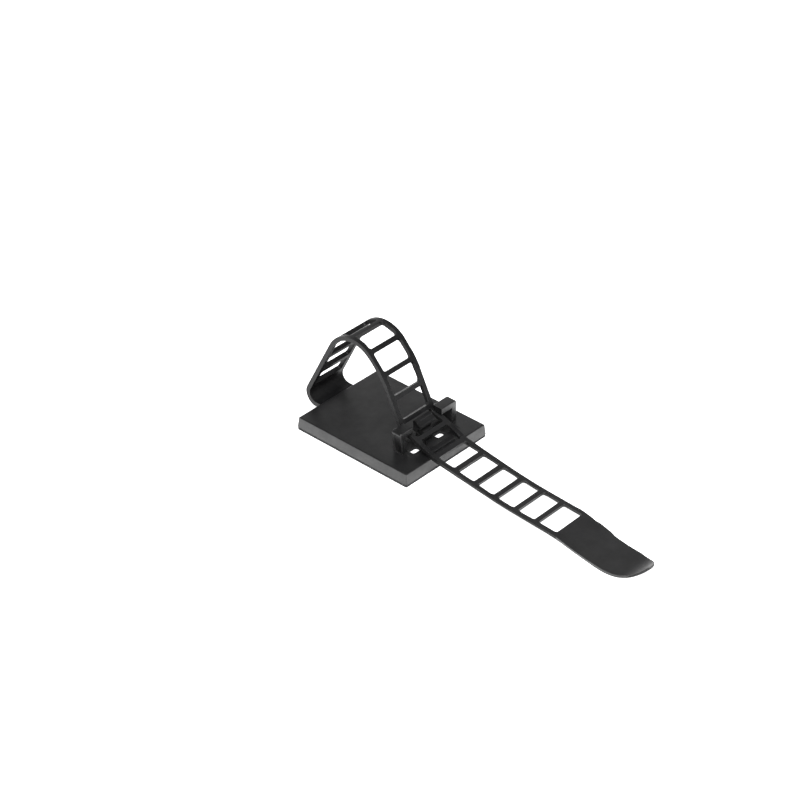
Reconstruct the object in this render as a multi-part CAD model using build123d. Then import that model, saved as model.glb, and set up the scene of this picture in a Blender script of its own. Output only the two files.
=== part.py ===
"""Adjustable strap clip on an adhesive pad, in mm.

The clip is one nylon moulding: a flat base, a gate of two hooked posts with an
upright pawl between them, and a ladder strap that leaves the back of the base,
loops over, passes down through the gate and runs out over the front as a tail.
Origin at the middle of the pad's underside. X runs across the strap, the tail
runs out towards -Y, Z is up. "out" below means distance towards -Y.
"""
import math
import os

from build123d import *

# Base plate and pad
plate_width = 20.0
plate_length = 25.0
plate_height = 1.94
plate_lean = 0.25
corner_radius = 0.3
top_edge_radius = 0.2
pad_thickness = 0.55
pad_inset = 0.04

# Gate: two posts with lips that reach inwards over the strap
gate_from_front = 5.5
gate_depth = 2.0
gate_height = 4.2
gate_shift = 0.4
post_gap = 11.64
post_width = 1.18
post_lean = 0.6
post_round = 0.4
lip_gap = 7.2
lip_thickness = 1.09
lip_lead_in = 0.85
gate_edge_radius = 0.15

# Pawl: the upright blade that goes through one cell of the ladder
pawl_width = 3.8
pawl_foot_width = 2.2
pawl_thickness = 0.85
pawl_rise = 4.18
pawl_neck = 1.2
pawl_shoulder = 1.0
pawl_edge_radius = 0.2
tooth_level = 2.85
tooth_reach = 0.75
tooth_face = 0.65
tooth_height = 1.05
rib_width = 2.0
rib_reach = 0.9
rib_height = 2.1

# Low step across the base that keeps the strap's rails to either side of it
step_from_front = 0.9
step_depth = 1.0
step_height = 0.6
step_clearance = 0.35

# Slots through base and pad under the two lips
slot_inner = 1.1
slot_outer = 5.0
slot_back = 0.85
slot_front = 2.2
slot_corner = 0.4

# Strap: a ladder whose rungs sit at even steps along its middle line
strap_width = 8.2
rail_width = 0.7
rung_step = 4.3
rung_thick_end = 0.92
rung_thin_end = 0.66
rung_past_bend = 4.13
tail_cells = 7
root_solid = 5.0
cell_corner = 0.5
root_depth = 0.8
root_level = 1.5
root_reach = 1.2
root_radius = 1.9
crown_behind_gate = 11.9
loop_crown_level = 12.64
loop_crown_radius = 5.55
belly_behind_gate = 17.08
belly_level = 5.52
belly_radius = 14.23
lip_clearance = 0.24
gate_bend_radius = 2.1
gate_bend_out = 0.35
hump_out = 0.65
hump_drop = 2.61
hump_radius = 2.5
rim_out = 1.88
rim_gap = 0.27
rim_radius = 5.0
sag_out = 23.97
sag_level = 0.65
sag_radius = 100.0
settle_out = 31.0
settle_radius = 60.0
curl_out = 40.3
curl_radius = 5.0
tip_out = 43.5
tip_level = 1.33
floor_gap = 0.02

# Strap thickness at the root, over the loop, in the gate, over the rim and in the tail
thick_root = 0.84
thick_loop = 0.77
thick_gate = 0.72
thick_rim = 0.66
thick_tail = 0.5

# Tongue outline seen from above: side position and distance in front of the base
tongue_outline = [
    (3.75, 28.0), (2.25, 34.8), (1.7, 40.2), (0.6, 42.75),
    (-2.5, 42.5), (-5.25, 39.6), (-5.42, 35.2), (-4.34, 28.0),
]
tongue_start = 24.0

# Half width of the strap's blank as a share of the strap's width, so that the tongue's sway fits in it
blank_share = 0.75

# Lengths that differ by less than this are the same
same_length = 0.001

plate_top = pad_thickness + plate_height
front = plate_length / 2
gate_out = front - gate_from_front
lip_under = plate_top + gate_height - lip_thickness
gate_level = lip_under - lip_clearance - thick_gate / 2
tail_level = floor_gap + thick_tail / 2

# Round guides that the strap's middle line runs around, in order from the root.
# Each has its place, a radius that is positive where the strap turns up and to
# the front, and the strap's thickness there. Guide 4 is the bend in the gate.
gate_guide = 4
guides = [
    (-front + root_depth, root_level, 0.0, thick_root),
    (-front - root_reach, root_level + root_radius, -root_radius, thick_root),
    (gate_out - crown_behind_gate, loop_crown_level, -loop_crown_radius, thick_loop),
    (gate_out - belly_behind_gate, belly_level, -belly_radius, thick_loop),
    (gate_out + gate_bend_out, gate_level + gate_bend_radius, gate_bend_radius, thick_gate),
    (gate_out + hump_out, gate_level - hump_drop, -hump_radius, thick_gate),
    (front + rim_out, plate_top + rim_gap + rim_radius, rim_radius, thick_rim),
    (front + sag_out, sag_level + sag_radius, sag_radius, thick_tail),
    (front + settle_out, tail_level + settle_radius, settle_radius, thick_tail),
    (front + curl_out, tail_level + curl_radius, curl_radius, thick_tail),
    (front + tip_out, tip_level, 0.0, thick_tail),
]

# Drawing plane of the strap's side view: across is "out", up is Z
side_view = Plane(origin=(0, 0, 0), x_dir=(0, -1, 0), z_dir=(-1, 0, 0))


def run_between(a, b):
    """The straight run that leaves guide a and touches guide b, and its heading."""
    ax, az, ar = a
    bx, bz, br = b
    heading = math.atan2(bz - az, bx - ax) - math.asin((br - ar) / math.hypot(bx - ax, bz - az))
    left = (-math.sin(heading), math.cos(heading))
    start = (ax - ar * left[0], az - ar * left[1])
    end = (bx - br * left[0], bz - br * left[1])
    return start, end, heading


def strap_line(side):
    """The strap seen from the side, as straight runs and arcs.

    side is 0 for the middle line, +1 and -1 for the two skins of the strap.
    Each piece is (start, end, start heading, end heading, arc radius or None).
    """
    offset = [(x, z, r - side * t / 2) for x, z, r, t in guides]
    runs = [run_between(a, b) for a, b in zip(offset[:-1], offset[1:])]
    pieces = []
    for i, (start, end, heading) in enumerate(runs):
        if i > 0:
            before = runs[i - 1]
            pieces.append((before[1], start, before[2], turned(before[2], heading), offset[i]))
        pieces.append((start, end, heading, heading, None))
    return pieces


def turned(before, after):
    """The second heading, written so that it is less than half a turn from the first."""
    while after - before > math.pi:
        after -= 2 * math.pi
    while after - before < -math.pi:
        after += 2 * math.pi
    return after


def piece_length(piece):
    """Length of one straight run or arc."""
    start, end, before, after, guide = piece
    if guide is None:
        return math.dist(start, end)
    return abs(guide[2] * (after - before))


def point_at(pieces, distance):
    """Point and unit normal on the middle line at a distance from its start."""
    for piece in pieces:
        length = piece_length(piece)
        if distance <= length or piece is pieces[-1]:
            break
        distance -= length
    start, end, before, after, guide = piece
    share = distance / length
    heading = before + (after - before) * share
    normal = (-math.sin(heading), math.cos(heading))
    if guide is None:
        place = (start[0] + (end[0] - start[0]) * share, start[1] + (end[1] - start[1]) * share)
    else:
        place = (guide[0] - guide[2] * normal[0], guide[1] - guide[2] * normal[1])
    return place, normal


def edges_of(pieces):
    """The straight runs and arcs of one line as drawing edges."""
    edges = []
    for start, end, before, after, guide in pieces:
        if guide is None:
            edges.append(Edge.make_line(start, end))
        else:
            middle = (before + after) / 2
            top = (guide[0] + guide[2] * math.sin(middle), guide[1] - guide[2] * math.cos(middle))
            edges.append(Edge.make_three_point_arc(start, top, end))
    return edges


def make_band():
    """The strap before its cells are cut: a band bent to the loop, with the shaped tongue."""
    upper = strap_line(1)
    lower = strap_line(-1)
    caps = [
        Edge.make_line(upper[0][0], lower[0][0]),
        Edge.make_line(upper[-1][1], lower[-1][1]),
    ]
    outline = side_view * Face(Wire(edges_of(upper) + edges_of(lower) + caps))
    ribbon = extrude(outline, strap_width * blank_share, both=True)
    half = strap_width / 2
    start = -(front + tongue_start)
    back = front + root_reach + 2 * root_radius + loop_crown_radius
    tip = [(x, -(front + y)) for x, y in tongue_outline]
    plan = [
        Edge.make_line((-half, back), (half, back)),
        Edge.make_line((half, back), (half, start)),
        Edge.make_spline(
            [Vector(half, start)] + [Vector(*p) for p in tip] + [Vector(-half, start)],
            tangents=[Vector(0, -1), Vector(0, 1)],
        ),
        Edge.make_line((-half, start), (-half, back)),
    ]
    tall = loop_crown_level + loop_crown_radius + thick_loop + curl_radius
    footprint = extrude(Face(Wire(plan)), tall, dir=(0, 0, 1))
    return ribbon & footprint


def make_cell(pieces, near, far):
    """The cutter for one cell between two distances along the strap, its ends square to it."""
    corners = []
    for distance, sides in ((near, (1, -1)), (far, (-1, 1))):
        place, normal = point_at(pieces, distance)
        for side in sides:
            corners.append((place[0] + side * thick_root * normal[0], place[1] + side * thick_root * normal[1]))
    half = strap_width / 2 - rail_width
    block = extrude(side_view * Face(Wire.make_polygon(corners)), half, both=True)
    upright = block.edges().filter_by(Axis.X, reverse=True)
    across = [e for e in upright if abs(e.length - 2 * thick_root) < same_length]
    return fillet(across, cell_corner)


def make_ladder():
    """Cutters for all the cells, set out from the rung that lies just past the pawl."""
    pieces = strap_line(0)
    past_pawl = sum(piece_length(piece) for piece in pieces[:2 * gate_guide - 1]) + rung_past_bend
    loop_cells = int((past_pawl - root_solid) / rung_step)
    count = loop_cells + tail_cells
    cells = []
    for index in range(count):
        rung = rung_thick_end + (rung_thin_end - rung_thick_end) * index / (count - 1)
        near = past_pawl + (index - loop_cells) * rung_step + rung / 2
        far = near + rung_step - rung
        if index == count - 1:
            far += rung / 2
        cells.append(make_cell(pieces, near, far))
    return cells


def make_plate():
    """Base plate with leaning sides and a softened top edge."""
    foot = RectangleRounded(plate_width, plate_length, corner_radius)
    lean = math.degrees(math.atan(plate_lean / plate_height))
    plate = extrude(Plane.XY.offset(pad_thickness) * foot, plate_height, taper=lean)
    return fillet(plate.faces().sort_by(Axis.Z)[-1].edges(), top_edge_radius)


def make_post(side, lean):
    """One post and its lip over the strap: side is +1 or -1, lean brings the foot inwards."""
    inner = post_gap / 2
    outer = inner + post_width
    tip = lip_gap / 2 - side * gate_shift
    top = plate_top + gate_height
    sunk = plate_top - plate_height / 2
    profile = Plane.XZ * make_face(Polyline(
        (inner - lean, sunk),
        (outer - lean, sunk),
        (outer - lean, plate_top),
        (outer, top),
        (tip, top),
        (tip, lip_under),
        (inner - lean * lip_thickness / gate_height, lip_under),
        (inner - lean, plate_top),
        close=True,
    ))
    post = extrude(profile, gate_depth / 2, both=True)
    shoulder = post.edges().filter_by(Axis.Y).sort_by(Axis.Z)[-2:].sort_by(Axis.X)[-1]
    post = fillet(shoulder, post_round)
    back_under = post.edges().filter_by(Axis.X).group_by(Axis.Z)[-2].sort_by(Axis.Y)[-1]
    post = chamfer(back_under, lip_lead_in)
    post = fillet(post.faces().sort_by(Axis.Z)[-1].edges().filter_by(Axis.X), gate_edge_radius)
    if side < 0:
        post = mirror(post, Plane.YZ)
    return Pos(gate_shift, -gate_out, 0) * post


def make_pawl():
    """Upright blade with a tooth that reaches over the strap and a rib at its foot."""
    foot = plate_top - plate_height / 2
    neck = plate_top + pawl_neck
    shoulder = neck + pawl_shoulder
    top = plate_top + pawl_rise
    face = Plane.XZ * make_face(Polyline(
        (-pawl_foot_width / 2, foot),
        (pawl_foot_width / 2, foot),
        (pawl_foot_width / 2, neck),
        (pawl_width / 2, shoulder),
        (pawl_width / 2, top),
        (-pawl_width / 2, top),
        (-pawl_width / 2, shoulder),
        (-pawl_foot_width / 2, neck),
        close=True,
    ))
    blade = extrude(face, pawl_thickness / 2, both=True)
    blade = fillet(blade.faces().sort_by(Axis.Z)[-1].edges().filter_by(Axis.X), pawl_edge_radius)
    front_face = pawl_thickness / 2
    tooth_foot = plate_top + tooth_level
    tooth_side = side_view * make_face(Polyline(
        (0, tooth_foot),
        (front_face + tooth_reach, tooth_foot),
        (front_face + tooth_reach, tooth_foot + tooth_face),
        (front_face, tooth_foot + tooth_height),
        (0, tooth_foot + tooth_height),
        close=True,
    ))
    tooth = extrude(tooth_side, pawl_width / 2, both=True)
    rib_side = side_view * make_face(Polyline(
        (0, foot),
        (front_face + rib_reach, foot),
        (front_face + rib_reach, plate_top + rib_height),
        (0, plate_top + rib_height),
        close=True,
    ))
    rib = extrude(rib_side, rib_width / 2, both=True)
    return Pos(0, -gate_out, 0) * (blade + tooth + rib)


def make_step():
    """Low step that reaches up between the rails in front of the slots."""
    width = strap_width - 2 * (rail_width + step_clearance)
    tall = step_height + plate_height / 2
    step = Box(width, step_depth, tall, align=(Align.CENTER, Align.MIN, Align.MAX))
    step = fillet(step.faces().sort_by(Axis.Z)[-1].edges().filter_by(Axis.X), gate_edge_radius)
    return Pos(0, step_from_front - front, plate_top + step_height) * step


def make_slots():
    """Cutters for the two slots, tall enough to go through plate and pad."""
    width = slot_outer - slot_inner
    length = slot_back + slot_front
    hole = RectangleRounded(width, length, slot_corner)
    across = slot_inner + width / 2
    along = -gate_out + slot_back - length / 2
    cutter = extrude(hole, plate_top * 2, both=True)
    return [Pos(gate_shift + side * across, along, 0) * cutter for side in (1, -1)]


def make_clip():
    """The whole moulding as one solid."""
    body = make_plate()
    for slot in make_slots():
        body -= slot
    body = body + make_post(1, 0.0) + make_post(-1, post_lean) + make_pawl() + make_step()
    strap = make_band()
    for cell in make_ladder():
        strap -= cell
    return body + strap


def make_pad():
    """Thin foam pad under the plate, with the same two slots."""
    pad = extrude(
        RectangleRounded(plate_width - 2 * pad_inset, plate_length - 2 * pad_inset, corner_radius),
        pad_thickness,
    )
    for slot in make_slots():
        pad -= slot
    return pad


os.makedirs("parts", exist_ok=True)
export_step(make_clip(), "parts/clip_moulding.step")
export_step(make_pad(), "parts/adhesive_pad.step")
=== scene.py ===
# %% [markdown]
# # A black adjustable clip with a ladder strap
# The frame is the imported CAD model, and it fixes the sizes. This script dresses it:
# rounded nylon edges, slightly fuller rails and rungs, a foam pad, a pale floor, soft
# light and the camera of the photograph. All lengths are in metres unless a name
# says mm.

# %% Load the frame
import math

import bmesh
import bpy
import numpy as np
from mathutils import Matrix, Vector


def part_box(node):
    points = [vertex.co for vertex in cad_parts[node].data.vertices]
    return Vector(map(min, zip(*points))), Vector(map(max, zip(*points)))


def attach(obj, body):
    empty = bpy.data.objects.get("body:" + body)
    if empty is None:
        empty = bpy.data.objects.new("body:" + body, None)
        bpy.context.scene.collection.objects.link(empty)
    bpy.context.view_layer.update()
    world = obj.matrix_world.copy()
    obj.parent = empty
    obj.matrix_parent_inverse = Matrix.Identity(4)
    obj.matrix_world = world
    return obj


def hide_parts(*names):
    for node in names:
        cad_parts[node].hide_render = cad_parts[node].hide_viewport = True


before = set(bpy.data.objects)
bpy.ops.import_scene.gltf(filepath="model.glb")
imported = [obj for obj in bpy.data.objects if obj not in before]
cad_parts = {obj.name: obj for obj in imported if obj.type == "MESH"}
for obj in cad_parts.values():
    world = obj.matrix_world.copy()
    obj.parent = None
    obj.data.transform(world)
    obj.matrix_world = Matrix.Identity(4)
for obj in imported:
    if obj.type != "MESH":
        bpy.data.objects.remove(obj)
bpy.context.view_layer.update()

MM = 0.001
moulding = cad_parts["clip_moulding"]

# %% [markdown]
# ## Camera
# The photograph was taken with a long lens from the front left, above the tail of
# the strap. A camera can be placed by hand until the edges agree, or its angles can
# be fitted to them. Here two angles, a distance, a focal length and the point in the
# middle of the picture were fitted to the edges of the base and the tail, and the
# camera's three axes follow from the two angles. The point is measured from the
# middle of the base's front edge, which lies a little in front of the pad's. No lens
# shift is needed.

# %% Camera
view_azimuth = math.radians(-47.496)
view_elevation = math.radians(34.364)
view_distance = 406.29 * MM
view_focus_mm = 110.22
aim_shift_right = -7.791 * MM
aim_shift_up = 10.291 * MM
nearest_seen = 10 * MM
farthest_seen = 20
pad_inset = 0.04 * MM
base_front_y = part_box("adhesive_pad")[0][1] - pad_inset
aim = Vector((0, base_front_y, 0))

towards_camera = Vector((
    math.sin(view_azimuth) * math.cos(view_elevation),
    -math.cos(view_azimuth) * math.cos(view_elevation),
    math.sin(view_elevation),
))
camera_right = Vector((math.cos(view_azimuth), math.sin(view_azimuth), 0))
camera_up = towards_camera.cross(camera_right)
sideways, upwards = camera_right * aim_shift_right, camera_up * aim_shift_up
camera_place = aim + sideways + upwards + towards_camera * view_distance

camera_data = bpy.data.cameras.new("photo_camera")
camera_data.lens = view_focus_mm
camera_data.clip_start = nearest_seen
camera_data.clip_end = farthest_seen
camera = bpy.data.objects.new("photo_camera", camera_data)
camera_axes = Matrix((camera_right, camera_up, towards_camera)).transposed()
camera.matrix_world = Matrix.Translation(camera_place) @ camera_axes.to_4x4()
bpy.context.scene.collection.objects.link(camera)
bpy.context.scene.camera = camera
print("Camera at", [round(v / MM, 1) for v in camera_place], "mm")

# %% [markdown]
# ## Writing shader maths as Python
# Node trees are hard to read when every Math node is wired by hand. A small class
# that wraps one socket lets us write `1 - mask * 0.3` and get the nodes for it. Any
# other node comes from `make`, which sets the node's settings before its sockets.

# %% A socket that can be added and multiplied
noise_middle = (0.3, 0.7)
mix_dark, mix_light, mix_result = 6, 7, 2


class Signal:
    """One output socket of a material. Arithmetic on it adds Math nodes."""

    def __init__(self, tree, socket=None):
        self.tree = tree
        self.socket = socket

    def make(self, kind, settings, sockets, output=0):
        """Add a node: first its settings, then the values or links of its sockets."""
        node = self.tree.nodes.new(kind)
        for name, setting in settings.items():
            setattr(node, name, setting)
        for name, value in sockets.items():
            if isinstance(value, Signal):
                self.tree.links.new(value.socket, node.inputs[name])
            else:
                node.inputs[name].default_value = value
        return Signal(self.tree, node.outputs[output])

    def maths(self, operation, first, second):
        """One Math node of two numbers or signals."""
        return self.make("ShaderNodeMath", {"operation": operation}, {0: first, 1: second})

    def __add__(self, other):
        return self.maths("ADD", self, other)

    def __radd__(self, other):
        return self.maths("ADD", other, self)

    def __rsub__(self, other):
        return self.maths("SUBTRACT", other, self)

    def __mul__(self, other):
        return self.maths("MULTIPLY", self, other)

    def or_more(self, other):
        """The larger of this signal and another."""
        return self.maths("MAXIMUM", self, other)


def start_material(name):
    """A new material: its first signal, which reads Object coordinates, and its shader."""
    material = bpy.data.materials.new(name)
    material.use_nodes = True
    tree = material.node_tree
    shader = tree.nodes["Principled BSDF"]
    place = Signal(tree).make("ShaderNodeTexCoord", {}, {}, output="Object")
    return material, place, shader


def noise(place, size, detail=2.0, roughness=0.5):
    """Noise from 0 to 1 whose blobs are about `size` metres across."""
    sockets = {"Vector": place, "Scale": 1 / size, "Detail": detail, "Roughness": roughness}
    return place.make("ShaderNodeTexNoise", {}, sockets, output="Fac")


def ramp(signal, ends, low, high):
    """Low where a signal is at the first end, high at the second, even steps between."""
    sockets = {"Value": signal, "From Min": ends[0], "From Max": ends[1]}
    sockets.update({"To Min": low, "To Max": high})
    return signal.make("ShaderNodeMapRange", {}, sockets, output="Result")


def spread(signal, low, high):
    """Stretch the middle of a noise so that it runs from low to high."""
    return ramp(signal, noise_middle, low, high)


def between(signal, ends, soft):
    """1 where a signal lies between two ends, falling to 0 over a soft margin outside them."""
    low, high = ends
    return ramp(signal, (low - soft, low), 0, 1) * ramp(signal, (high + soft, high), 0, 1)


def blend(dark, light, share):
    """A colour between two colours, mixed by a signal from 0 to 1."""
    settings = {"data_type": "RGBA"}
    sockets = {"Factor": share, mix_dark: (*dark, 1), mix_light: (*light, 1)}
    return share.make("ShaderNodeMix", settings, sockets, output=mix_result)


def connect(shader, **links):
    """Link signals to the shader's sockets; words in a name are joined by underscores."""
    for name, signal in links.items():
        signal.tree.links.new(signal.socket, shader.inputs[name.replace("_", " ")])


def relief(height, strength, distance, under=None):
    """A Bump node that lifts the surface by a height from 0 to 1 times a distance."""
    sockets = {"Height": height, "Strength": strength, "Distance": distance}
    if under is not None:
        sockets["Normal"] = under
    return height.make("ShaderNodeBump", {}, sockets, output="Normal")


print("Shader helpers ready")

# %% [markdown]
# ## Black nylon
# The clip is moulded in one shot from black nylon. Its skin is satin: the mould was
# spark-eroded, which leaves a fine grain, and the plastic flowed and shrank, which
# leaves a faint waviness and slightly uneven gloss. An image texture could hold all
# this, but noise in Object coordinates needs no unwrapping and has the true scale.
#
# A patchy coat gives the sheen. Each face says how much of it is kept, and where it is
# taken away, on the strap, it paints shade. In the recess between the posts, which
# light hardly reaches, the coat is nearly all taken away as painted shade and the skin
# is rougher. On the real part the corners are polished by handling, so the rounded
# edges get a second version of the same recipe that is a little lighter and smoother.

# %% Nylon
nylon_black = (0.0045, 0.0045, 0.0048)
nylon_grey = (0.011, 0.011, 0.0115)
nylon_index = 1.53
nylon_specular = 0.28
nylon_roughness = 0.40
coat_roughness = 0.32
edge_lift = 0.003
edge_gloss = 0.05

flow_size = 3.5 * MM
flow_colours = 0.6
flow_roughens = 0.06
grain_size = 0.11 * MM
grain_colours = 0.4
grain_height = 0.006 * MM
grain_strength = 0.35
wave_size = 6.0 * MM
wave_height = 0.05 * MM
wave_strength = 0.5
scuff_size = 0.6 * MM
scuff_low = -0.5
scuffs_roughen = 0.04
mottle_size = 2.2 * MM
mottle_least = 0.7

recess_x = (-5.4 * MM, 6.2 * MM)
recess_y = (-9.3 * MM, -6.0 * MM)
recess_z = (0.5 * MM, 5.55 * MM)
recess_soft_x = 0.2 * MM
recess_soft_y = 0.9 * MM
recess_soft_z = 0.1 * MM
# How much of the coat the recess loses: painted shade.
recess_painted_shade = 0.95
recess_roughens = 0.4


# The mask of the recess, where shade is painted by taking the coat away.
def recess_shade_mask(place):
    """A signal that is 1 in the recess between the posts and under their lips."""
    x, y, z = (
        place.make("ShaderNodeSeparateXYZ", {}, {"Vector": place}, output=axis)
        for axis in "XYZ"
    )
    wide = between(x, recess_x, recess_soft_x)
    long = between(y, recess_y, recess_soft_y)
    return wide * long * between(z, recess_z, recess_soft_z)


def nylon(name, lift, gloss):
    """Black nylon. lift adds to its grey, gloss lowers its roughness."""
    material, place, shader = start_material(name)
    flow = spread(noise(place, flow_size, detail=3.0), 0.0, 1.0)
    grain = noise(place, grain_size, detail=2.0, roughness=0.6)
    waves = noise(place, wave_size, detail=1.0)
    scuffs = spread(noise(place, scuff_size, detail=4.0, roughness=0.7), scuff_low, 1.0)
    dark = tuple(channel + lift for channel in nylon_black)
    light = tuple(channel + lift for channel in nylon_grey)
    colour = blend(dark, light, flow * flow_colours + grain * grain_colours)
    # Painted shade in the recess: it loses most of its coat and is rougher.
    recess = recess_shade_mask(place)
    uneven = nylon_roughness - gloss + flow * flow_roughens + scuffs * scuffs_roughen
    uneven = uneven + recess * recess_roughens
    mottle = spread(noise(place, mottle_size, detail=3.0, roughness=0.6), mottle_least, 1.0)
    settings = {"attribute_name": "coat_and_shade"}
    # The face attribute that keeps the coat, or takes it away as painted shade.
    coat_and_shade = place.make("ShaderNodeAttribute", settings, {}, output="Fac")
    soft_waves = relief(waves, wave_strength, wave_height)
    skin = relief(grain, grain_strength, grain_height, under=soft_waves)
    connect(shader, Base_Color=colour, Roughness=uneven, Normal=skin)
    connect(shader, Coat_Weight=mottle * coat_and_shade * (1 - recess * recess_painted_shade))
    shader.inputs["IOR"].default_value = nylon_index
    shader.inputs["Specular IOR Level"].default_value = nylon_specular
    shader.inputs["Coat Roughness"].default_value = coat_roughness
    return material


nylon_face = nylon("nylon_face", 0.0, 0.0)
nylon_edge = nylon("nylon_edge", edge_lift, edge_gloss)
print("Materials:", nylon_face.name, nylon_edge.name)

# %% [markdown]
# ## The moulding
# The CAD node already has every rail, rung, post and tooth, but its edges are sharp
# as a knife and catch no light. The real tool leaves a radius of about a tenth of a
# millimetre. We could model that in CAD at a high cost in faces. Here a copy of the
# node is rounded instead. First its triangles are joined, its flat faces are made
# whole, and its stored sharp edges and normals are taken off, because they would
# spoil the shading of the rounding.

# %% Joined copy of the moulding
join_distance = 0.0005 * MM
flat_angle = math.radians(0.3)


def joined_copy(node, name):
    """A copy of a CAD node: triangles joined, flat faces whole, stored shading taken off."""
    mesh = node.data.copy()
    mesh.name = name
    shell = bmesh.new()
    shell.from_mesh(mesh)
    bmesh.ops.remove_doubles(shell, verts=shell.verts, dist=join_distance)
    bmesh.ops.dissolve_limit(
        shell, angle_limit=flat_angle, verts=shell.verts, edges=shell.edges
    )
    shell.to_mesh(mesh)
    shell.free()
    for mark in ("sharp_edge", "sharp_face", "custom_normal"):
        if mark in mesh.attributes:
            mesh.attributes.remove(mesh.attributes[mark])
    piece = bpy.data.objects.new(name, mesh)
    bpy.context.scene.collection.objects.link(piece)
    return piece


clip = joined_copy(moulding, "clip_rounded")
print("Moulding:", len(clip.data.polygons), "faces before rounding")

# %% [markdown]
# ## A fuller ladder
# In the photograph the rails and the tail's rungs are a little fuller than in the CAD
# model. A Solidify modifier would thicken every face alike, also the outside of the
# strap, which is right already. So only the walls of the cells move, into the cells.

# %% Fuller rails and rungs
strap_half_width = 4.1 * MM
rail_inside = 3.4 * MM
cell_corner = 0.5 * MM
rail_grows = 0.18 * MM
rung_grows = 0.11 * MM
tip_thins = (-46 * MM, -51 * MM)
step_top = 3.2 * MM
lip_bottom = 5.5 * MM
gate_front_y = -8.1 * MM
gate_rear_y = -5.9 * MM
slack = 0.05 * MM
faces_across = 0.02
faces_up = 0.7
least_push = 0.1


def values_of(items, name, width=1, kind=float):
    """A property of all points, edges or faces of a mesh: an array with a row for each."""
    flat = np.empty(len(items) * width, dtype=kind)
    items.foreach_get(name, flat)
    return flat.reshape(-1, width) if width > 1 else flat


def fuller_ladder(mesh):
    """Let the walls of the ladder's cells grow into the cells, and count the points moved.

    The walls are the faces between the rails: those that look across the strap, and
    on the tail also those that look along it. With n the unit sum of the normals of
    a point's walls, the point moves by (n_x * rail_grows, n_y * rung_grows,
    n_z * rung_grows) on the tail, and elsewhere by the first of these only.
    """
    places = values_of(mesh.vertices, "co", 3)
    normals = values_of(mesh.polygons, "normal", 3)
    starts = values_of(mesh.polygons, "loop_start", kind=np.int32)
    corners = values_of(mesh.loops, "vertex_index", kind=np.int32)
    low = np.minimum.reduceat(places[corners], starts)
    high = np.maximum.reduceat(places[corners], starts)
    off_middle = np.abs(places[corners, 0])
    nearest = np.minimum.reduceat(off_middle, starts)
    farthest = np.maximum.reduceat(off_middle, starts)

    tail = high[:, 1] < base_front_y - 2 * slack
    behind = low[:, 1] > -base_front_y + 2 * slack
    off_base = tail | behind | (high[:, 2] > step_top)
    in_gate = (low[:, 1] > gate_front_y) & (high[:, 1] < gate_rear_y)
    lip = (low[:, 2] > lip_bottom) & in_gate
    off_tip = low[:, 1] > tip_thins[0]
    beside_rail = nearest > rail_inside - cell_corner - slack
    across = (np.abs(normals[:, 0]) > faces_across) & beside_rail
    along = (np.abs(normals[:, 2]) < faces_up) & tail
    walls = (farthest < rail_inside + slack) & off_base & ~lip & off_tip & (across | along)

    sizes = np.diff(np.append(starts, len(corners)))
    push = np.zeros_like(places)
    np.add.at(push, corners, np.repeat(normals * walls[:, None], sizes, axis=0))
    length = np.linalg.norm(push, axis=1, keepdims=True)
    moved = length > least_push
    push = np.where(moved, push / np.maximum(length, least_push), 0)
    on_tail = places[:, 1] < base_front_y
    push[~on_tail, 1:] = 0
    places += push * (rail_grows, rung_grows, rung_grows)
    mesh.vertices.foreach_set("co", places.ravel())
    mesh.update()
    return int(moved.sum())


print("Points of the ladder moved:", fuller_ladder(clip.data))

# %% [markdown]
# ## Rounding and shine
# A Bevel modifier rounds each edge that turns by more than a set angle. It reads a
# weight from each edge, so the strap can be rounded a little more than the rest, and
# the rounding gets the edge material. A second number, stored for each face, tells
# the nylon how much of its coat is kept: all of it on the base and on top of the
# tail, and none on the rest of the strap, which paints shade there.

# %% Rounded moulding
edge_round = 0.09 * MM
strap_edge_round = 0.11 * MM
round_steps = 3
sharp_angle = math.radians(32)
gate_back_y = -4.8 * MM
gate_top = 6.8 * MM
base_top = 2.6 * MM
# No coat is kept on the strap outside the tail's top: painted shade.
strap_coat_painted_shade = 0.0
tail_top_faces_up = 0.8


def edge_weights(mesh):
    """How much of the strap's rounding each edge gets: all, a part, or none if it is not sharp.

    An edge belongs to the strap if its middle lies within the strap's width and
    beyond the base's ends, behind the gate above the base, or above the gate. In
    the gate only the outsides of the rails count, at half the strap's width. The
    rounding shrinks in even steps of length towards the thin tip.
    """
    places = values_of(mesh.vertices, "co", 3)
    ends = values_of(mesh.edges, "vertices", 2, np.int32)
    sharp = values_of(mesh.attributes["sharp_edge"].data, "value", kind=bool)
    x, y, z = places[ends].mean(axis=1).T
    beyond = np.abs(y) > -base_front_y + 2 * slack
    loop = (z > gate_top) | ((y > gate_back_y) & (z > base_top))
    inside = np.abs(x) < strap_half_width + slack
    outside = np.abs(np.abs(x) - strap_half_width) < slack
    strap = (inside & (beyond | loop)) | (outside & (z > base_top))
    least = edge_round / strap_edge_round
    thinned = np.interp(y, tip_thins[::-1], (least, 1.0))
    return sharp * np.where(strap, thinned, least)


def face_coat_and_painted_shade(mesh):
    """How glossy each face is: 1 on the base and on top of the tail, less on the strap.

    A face belongs to the strap if its middle lies within the strap's width and
    above the base's top, or beyond the base's ends.
    """
    x, y, z = values_of(mesh.polygons, "center", 3).T
    upward = values_of(mesh.polygons, "normal", 3)[:, 2] > tail_top_faces_up
    beyond = np.abs(y) > -base_front_y
    strap = (np.abs(x) < strap_half_width + slack) & (beyond | (z > base_top))
    tail_top = (y < base_front_y) & upward
    # The strap's faces keep no coat, which paints shade on them.
    return np.where(strap & ~tail_top, strap_coat_painted_shade, 1.0)


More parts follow.
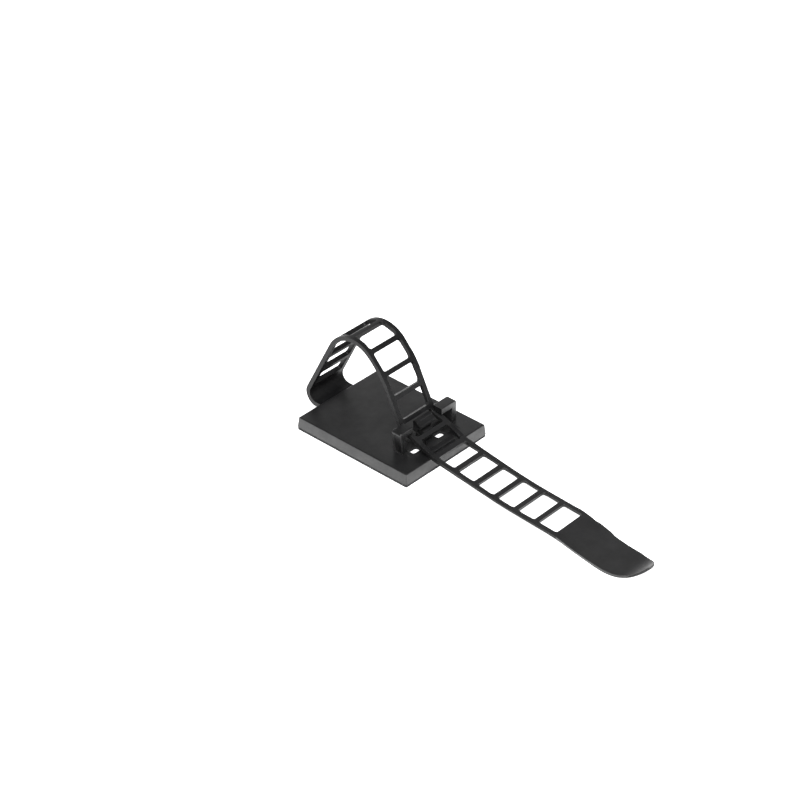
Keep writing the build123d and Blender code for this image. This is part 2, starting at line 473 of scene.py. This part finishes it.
clip.data.materials.clear()
clip.data.materials.append(nylon_face)
clip.data.materials.append(nylon_edge)
for face in clip.data.polygons:
    face.material_index = 0
clip.data.shade_smooth()
clip.data.set_sharp_from_angle(angle=sharp_angle)
coat_and_shade = clip.data.attributes.new("coat_and_shade", "FLOAT", "FACE")
coat_and_shade.data.foreach_set("value", face_coat_and_painted_shade(clip.data))
edge_shares = edge_weights(clip.data)
weights = clip.data.attributes.new("bevel_weight_edge", "FLOAT", "EDGE")
weights.data.foreach_set("value", edge_shares)
rounding = clip.modifiers.new("edge_round", "BEVEL")
rounding.width = strap_edge_round
rounding.segments = round_steps
rounding.offset_type = "ABSOLUTE"
rounding.limit_method = "WEIGHT"
rounding.use_clamp_overlap = False
rounding.harden_normals = True
rounding.material = 1
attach(clip, "root")
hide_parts("clip_moulding")
print("Edges rounded:", int((edge_shares > 0).sum()))

# %% [markdown]
# ## The foam pad
# Under the base sits a thin pad of closed-cell foam with adhesive on both sides.
# Pressed between two flat faces, its cut edge swells a little, and so do the edges of
# its two slots. A CAD copy would be a flat slab, so the pad is worked out with numpy:
# it is split between the slots into two halves, each half is a ring round its own
# slot, and one section is carried round that ring.

# %% Foam pad
pad_low, pad_high = (np.array(corner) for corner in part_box("adhesive_pad"))
pad_corner = 0.3 * MM
slot_split = 0.4 * MM
slot_near = 1.1 * MM
slot_far = 5.0 * MM
slot_middle_y = -7.675 * MM
slot_half_length = 1.525 * MM
slot_corner = 0.4 * MM
foam_swell = 0.05 * MM
side_steps = 40
wall_steps = 6
cap_steps = 5
square_right, square_left = 1, 3
never_zero = 1e-12


def square_path(count):
    """Points once round the square from -1 to 1, closer together near its corners.

    Along each side the place is the sine of an angle from minus to plus a quarter turn.
    """
    step = np.sin(np.linspace(-math.pi / 2, math.pi / 2, count + 1))[:-1]
    one = np.ones(count)
    sides = [(step, -one), (one, step), (-step, one), (-one, -step)]
    return np.concatenate([np.stack(side, axis=1) for side in sides])


def round_rectangle(points, low, high, radius):
    """Outline points pulled onto a rectangle with round corners, and their outward directions.

    The nearest point of the rectangle shrunk by the radius is the centre that a
    point keeps its radius from; a point inside that core stays where it is.
    """
    core = np.clip(points, low + radius, high - radius)
    away = points - core
    length = np.linalg.norm(away, axis=1, keepdims=True)
    outward = away / np.maximum(length, never_zero)
    return core + radius * outward, outward


def pad_half(side):
    """Grid of one half of the pad, rows of its section by steps round its slot.

    The section goes up the slot's wall, out over the top, down the outer wall and
    back under the bottom. Both walls swell by the sine of their height.
    """
    square = square_path(side_steps)
    slot_ends = sorted((side * slot_near, side * slot_far))
    slot_low = np.array([slot_ends[0] + slot_split, slot_middle_y - slot_half_length])
    slot_high = np.array([slot_ends[1] + slot_split, slot_middle_y + slot_half_length])
    half_low = np.array([slot_split if side > 0 else pad_low[0], pad_low[1]])
    half_high = np.array([pad_high[0] if side > 0 else slot_split, pad_high[1]])
    around_slot = (slot_low + slot_high) / 2 + square * (slot_high - slot_low) / 2
    around_half = (half_low + half_high) / 2 + square * (half_high - half_low) / 2
    inner, inner_out = round_rectangle(around_slot, slot_low, slot_high, slot_corner)
    outer, outer_out = round_rectangle(around_half, pad_low[:2], pad_high[:2], pad_corner)
    climb = np.linspace(0, 1, wall_steps + 1)
    across = np.linspace(0, 1, cap_steps + 1)[1:-1]
    share = np.concatenate([0 * climb, across, 0 * climb + 1, across[::-1]])[:, None, None]
    height = np.concatenate([climb, 0 * across + 1, climb[::-1], 0 * across])[:, None]
    swell = foam_swell * (np.sin(math.pi * height) - 1)[:, :, None]
    plan = inner * (1 - share) + outer * share
    plan = plan + np.where(share == 1, outer_out * swell, 0)
    plan = plan - np.where(share == 0, inner_out * swell, 0)
    level = pad_low[2] + (pad_high[2] - pad_low[2]) * height
    level = np.broadcast_to(level, plan.shape[:2])
    return np.concatenate([plan, level[:, :, None]], axis=2)


def ring_faces(rows, steps, start, open_side):
    """Quads of a grid that closes both ways, without the outer wall on one side."""
    row, step = np.meshgrid(np.arange(rows), np.arange(steps), indexing="ij")
    outer_wall = (row >= wall_steps + cap_steps) & (row < 2 * wall_steps + cap_steps)
    keep = ~(outer_wall & (step // side_steps == open_side))
    row, step = row[keep], step[keep]
    next_row, next_step = (row + 1) % rows, (step + 1) % steps
    corners = [(row, step), (row, next_step), (next_row, next_step), (next_row, step)]
    return start + np.stack([r * steps + s for r, s in corners], axis=1)


right_half, left_half = pad_half(1), pad_half(-1)
rows, steps = right_half.shape[:2]
points = np.concatenate([right_half.reshape(-1, 3), left_half.reshape(-1, 3)])
faces = np.concatenate([
    ring_faces(rows, steps, 0, square_left),
    ring_faces(rows, steps, rows * steps, square_right),
])
pad_mesh = bpy.data.meshes.new("foam_pad")
pad_mesh.from_pydata(points, [], faces)
shell = bmesh.new()
shell.from_mesh(pad_mesh)
bmesh.ops.remove_doubles(shell, verts=shell.verts, dist=join_distance)
bmesh.ops.recalc_face_normals(shell, faces=shell.faces)
open_edges = sum(not edge.is_manifold for edge in shell.edges)
shell.to_mesh(pad_mesh)
shell.free()
pad_mesh.shade_smooth()
pad_mesh.set_sharp_from_angle(angle=sharp_angle)
pad = bpy.data.objects.new("foam_pad", pad_mesh)
bpy.context.scene.collection.objects.link(pad)
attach(pad, "root")
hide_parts("adhesive_pad")
print("Pad:", len(pad_mesh.polygons), "faces,", open_edges, "open edges")

# %% [markdown]
# ## Foam
# Closed-cell foam shows round cells of about a fifth of a millimetre where it is cut.
# A Voronoi texture gives such cells: its distance is lowest at each cell's middle, so
# used as a height it presses a small cup for every cell. A second, finer noise breaks
# the cell walls up, and painted shade makes the cups a little darker than the walls.

# %% Foam
foam_dark = (0.016, 0.016, 0.017)
foam_light = (0.050, 0.050, 0.052)
foam_index = 1.45
foam_roughness = 0.78
cell_size = 0.22 * MM
cup_painted_shade = 0.8
cup_depth = 0.04 * MM
cup_strength = 0.7
fluff_size = 0.06 * MM
fluff_height = 0.3
patch_size = 2.5 * MM
patch_colours = 0.2
patches_roughen = 0.12

foam_face, place, shader = start_material("foam_cells")
sockets = {"Vector": place, "Scale": 1 / cell_size}
cells = place.make("ShaderNodeTexVoronoi", {}, sockets, output="Distance")
fluff = noise(place, fluff_size, detail=2.0)
patches = spread(noise(place, patch_size, detail=2.0), 0.0, 1.0)
# The cells' distance darkens the cups: painted shade.
colour = blend(foam_dark, foam_light, cells * cup_painted_shade + patches * patch_colours)
skin = relief(cells + fluff * fluff_height, cup_strength, cup_depth)
uneven = foam_roughness + patches * patches_roughen
connect(shader, Base_Color=colour, Roughness=uneven, Normal=skin)
shader.inputs["IOR"].default_value = foam_index
pad_mesh.materials.append(foam_face)
print("Material:", foam_face.name)

# %% [markdown]
# ## Floor and backdrop
# The clip lies on a white sweep. A white floor could be lit until it clips, but that
# light would also wash out the clip. So the floor is an ordinary pale surface, and
# only rays from the camera, or mirrored in gloss, add a glow to it. What the clip
# takes away from the lamps stays as a faint shadow.

# %% Floor
floor_span = 3.0
floor_glow = 1.0
floor_roughness = 0.9
floor_dark = (0.80, 0.80, 0.80)
floor_light = (0.83, 0.83, 0.83)
speckle_size = 4.0 * MM
floor_mesh = bpy.data.meshes.new("floor")
floor_signs = ((-1, -1), (1, -1), (1, 1), (-1, 1))
floor_corners = [(x * floor_span, y * floor_span, 0) for x, y in floor_signs]
floor_mesh.from_pydata(floor_corners, [], [(0, 1, 2, 3)])
floor = bpy.data.objects.new("floor", floor_mesh)
bpy.context.scene.collection.objects.link(floor)


def seen_directly(tree):
    """A signal that is 1 for camera, glossy and transmission rays and 0 for soft light."""
    start = Signal(tree)
    camera_ray, glossy_ray, through_ray = (
        start.make("ShaderNodeLightPath", {}, {}, output=kind)
        for kind in ("Is Camera Ray", "Is Glossy Ray", "Is Transmission Ray")
    )
    return camera_ray.or_more(glossy_ray).or_more(through_ray)


floor_face, place, shader = start_material("floor_white")
speckle = noise(place, speckle_size, detail=2.0)
glow = blend((0, 0, 0), (1, 1, 1), seen_directly(floor_face.node_tree))
colour = blend(floor_dark, floor_light, speckle)
connect(shader, Base_Color=colour, Emission_Color=glow)
shader.inputs["Roughness"].default_value = floor_roughness
shader.inputs["Emission Strength"].default_value = floor_glow
floor_mesh.materials.append(floor_face)
print("Floor", 2 * floor_span, "m wide")

# %% [markdown]
# ## Light
# In the photograph the sides of the base are lighter than its top. Lamps from above
# would do the opposite, because a flat top catches most of their light. So the world
# does much of the lighting. It is a plain room: bright low down and dark towards the
# ceiling, which keeps the flat top of a satin black part dark, and brighter at the
# back right than at the front left, like a side with a window. Seen directly it is
# white.

# %% World
room_low = 0.9
room_high = 0.0
room_dark_from = 0.8
room_front = 0.35
room_back = 1.2
window_side = (0.74, 0.67, 0.0)
world = bpy.data.worlds.new("studio")
bpy.context.scene.world = world
world.use_nodes = True
tree = world.node_tree
background = tree.nodes["Background"]
direction = Signal(tree).make("ShaderNodeTexCoord", {}, {}, output="Generated")
height = direction.make("ShaderNodeSeparateXYZ", {}, {"Vector": direction}, output="Z")
settings, sockets = {"operation": "DOT_PRODUCT"}, {0: direction, 1: window_side}
facing = direction.make("ShaderNodeVectorMath", settings, sockets, output="Value")
level = ramp(height, (0.0, room_dark_from), room_low, room_high)
room = level * ramp(facing, (0.0, 1.0), room_front, room_back)
camera_ray = room.make("ShaderNodeLightPath", {}, {}, output="Is Camera Ray")
connect(background, Strength=room + camera_ray * (1 - room))
background.inputs["Color"].default_value = (1, 1, 1, 1)
print("Room", round(room_low * room_front, 2), "to", round(room_low * room_back, 2), "bright")

# %% [markdown]
# ## Lamps
# Two large soft lamps add what the room leaves too dark: one hangs almost above the
# clip, and one stands at the front left, half way between the floor and overhead. A
# lamp near the floor would show as a white mirror image in the tops when the clip is
# seen from the other side.

# %% Lamps
lamp_target = Vector((0, -15 * MM, 5 * MM))


def lamp(name, place, size, power):
    """A square soft lamp that looks at the middle of the clip."""
    data = bpy.data.lights.new(name, "AREA")
    data.size = size
    data.energy = power
    lamp_object = bpy.data.objects.new(name, data)
    lamp_object.location = place
    towards_clip = lamp_target - Vector(place)
    lamp_object.rotation_euler = towards_clip.to_track_quat("-Z", "Y").to_euler()
    bpy.context.scene.collection.objects.link(lamp_object)
    print(name, round(towards_clip.length, 2), "m away,", power, "W")


lamp("lamp_above", place=(-0.15, -0.2, 0.65), size=0.5, power=4.5)
lamp("lamp_left", place=(-0.35, -0.38, 0.5), size=0.5, power=3.5)

# %% [markdown]
# ## Colour view
# The Standard view shows colours as they are written.

# %% Finish
bpy.context.scene.view_settings.view_transform = "Standard"
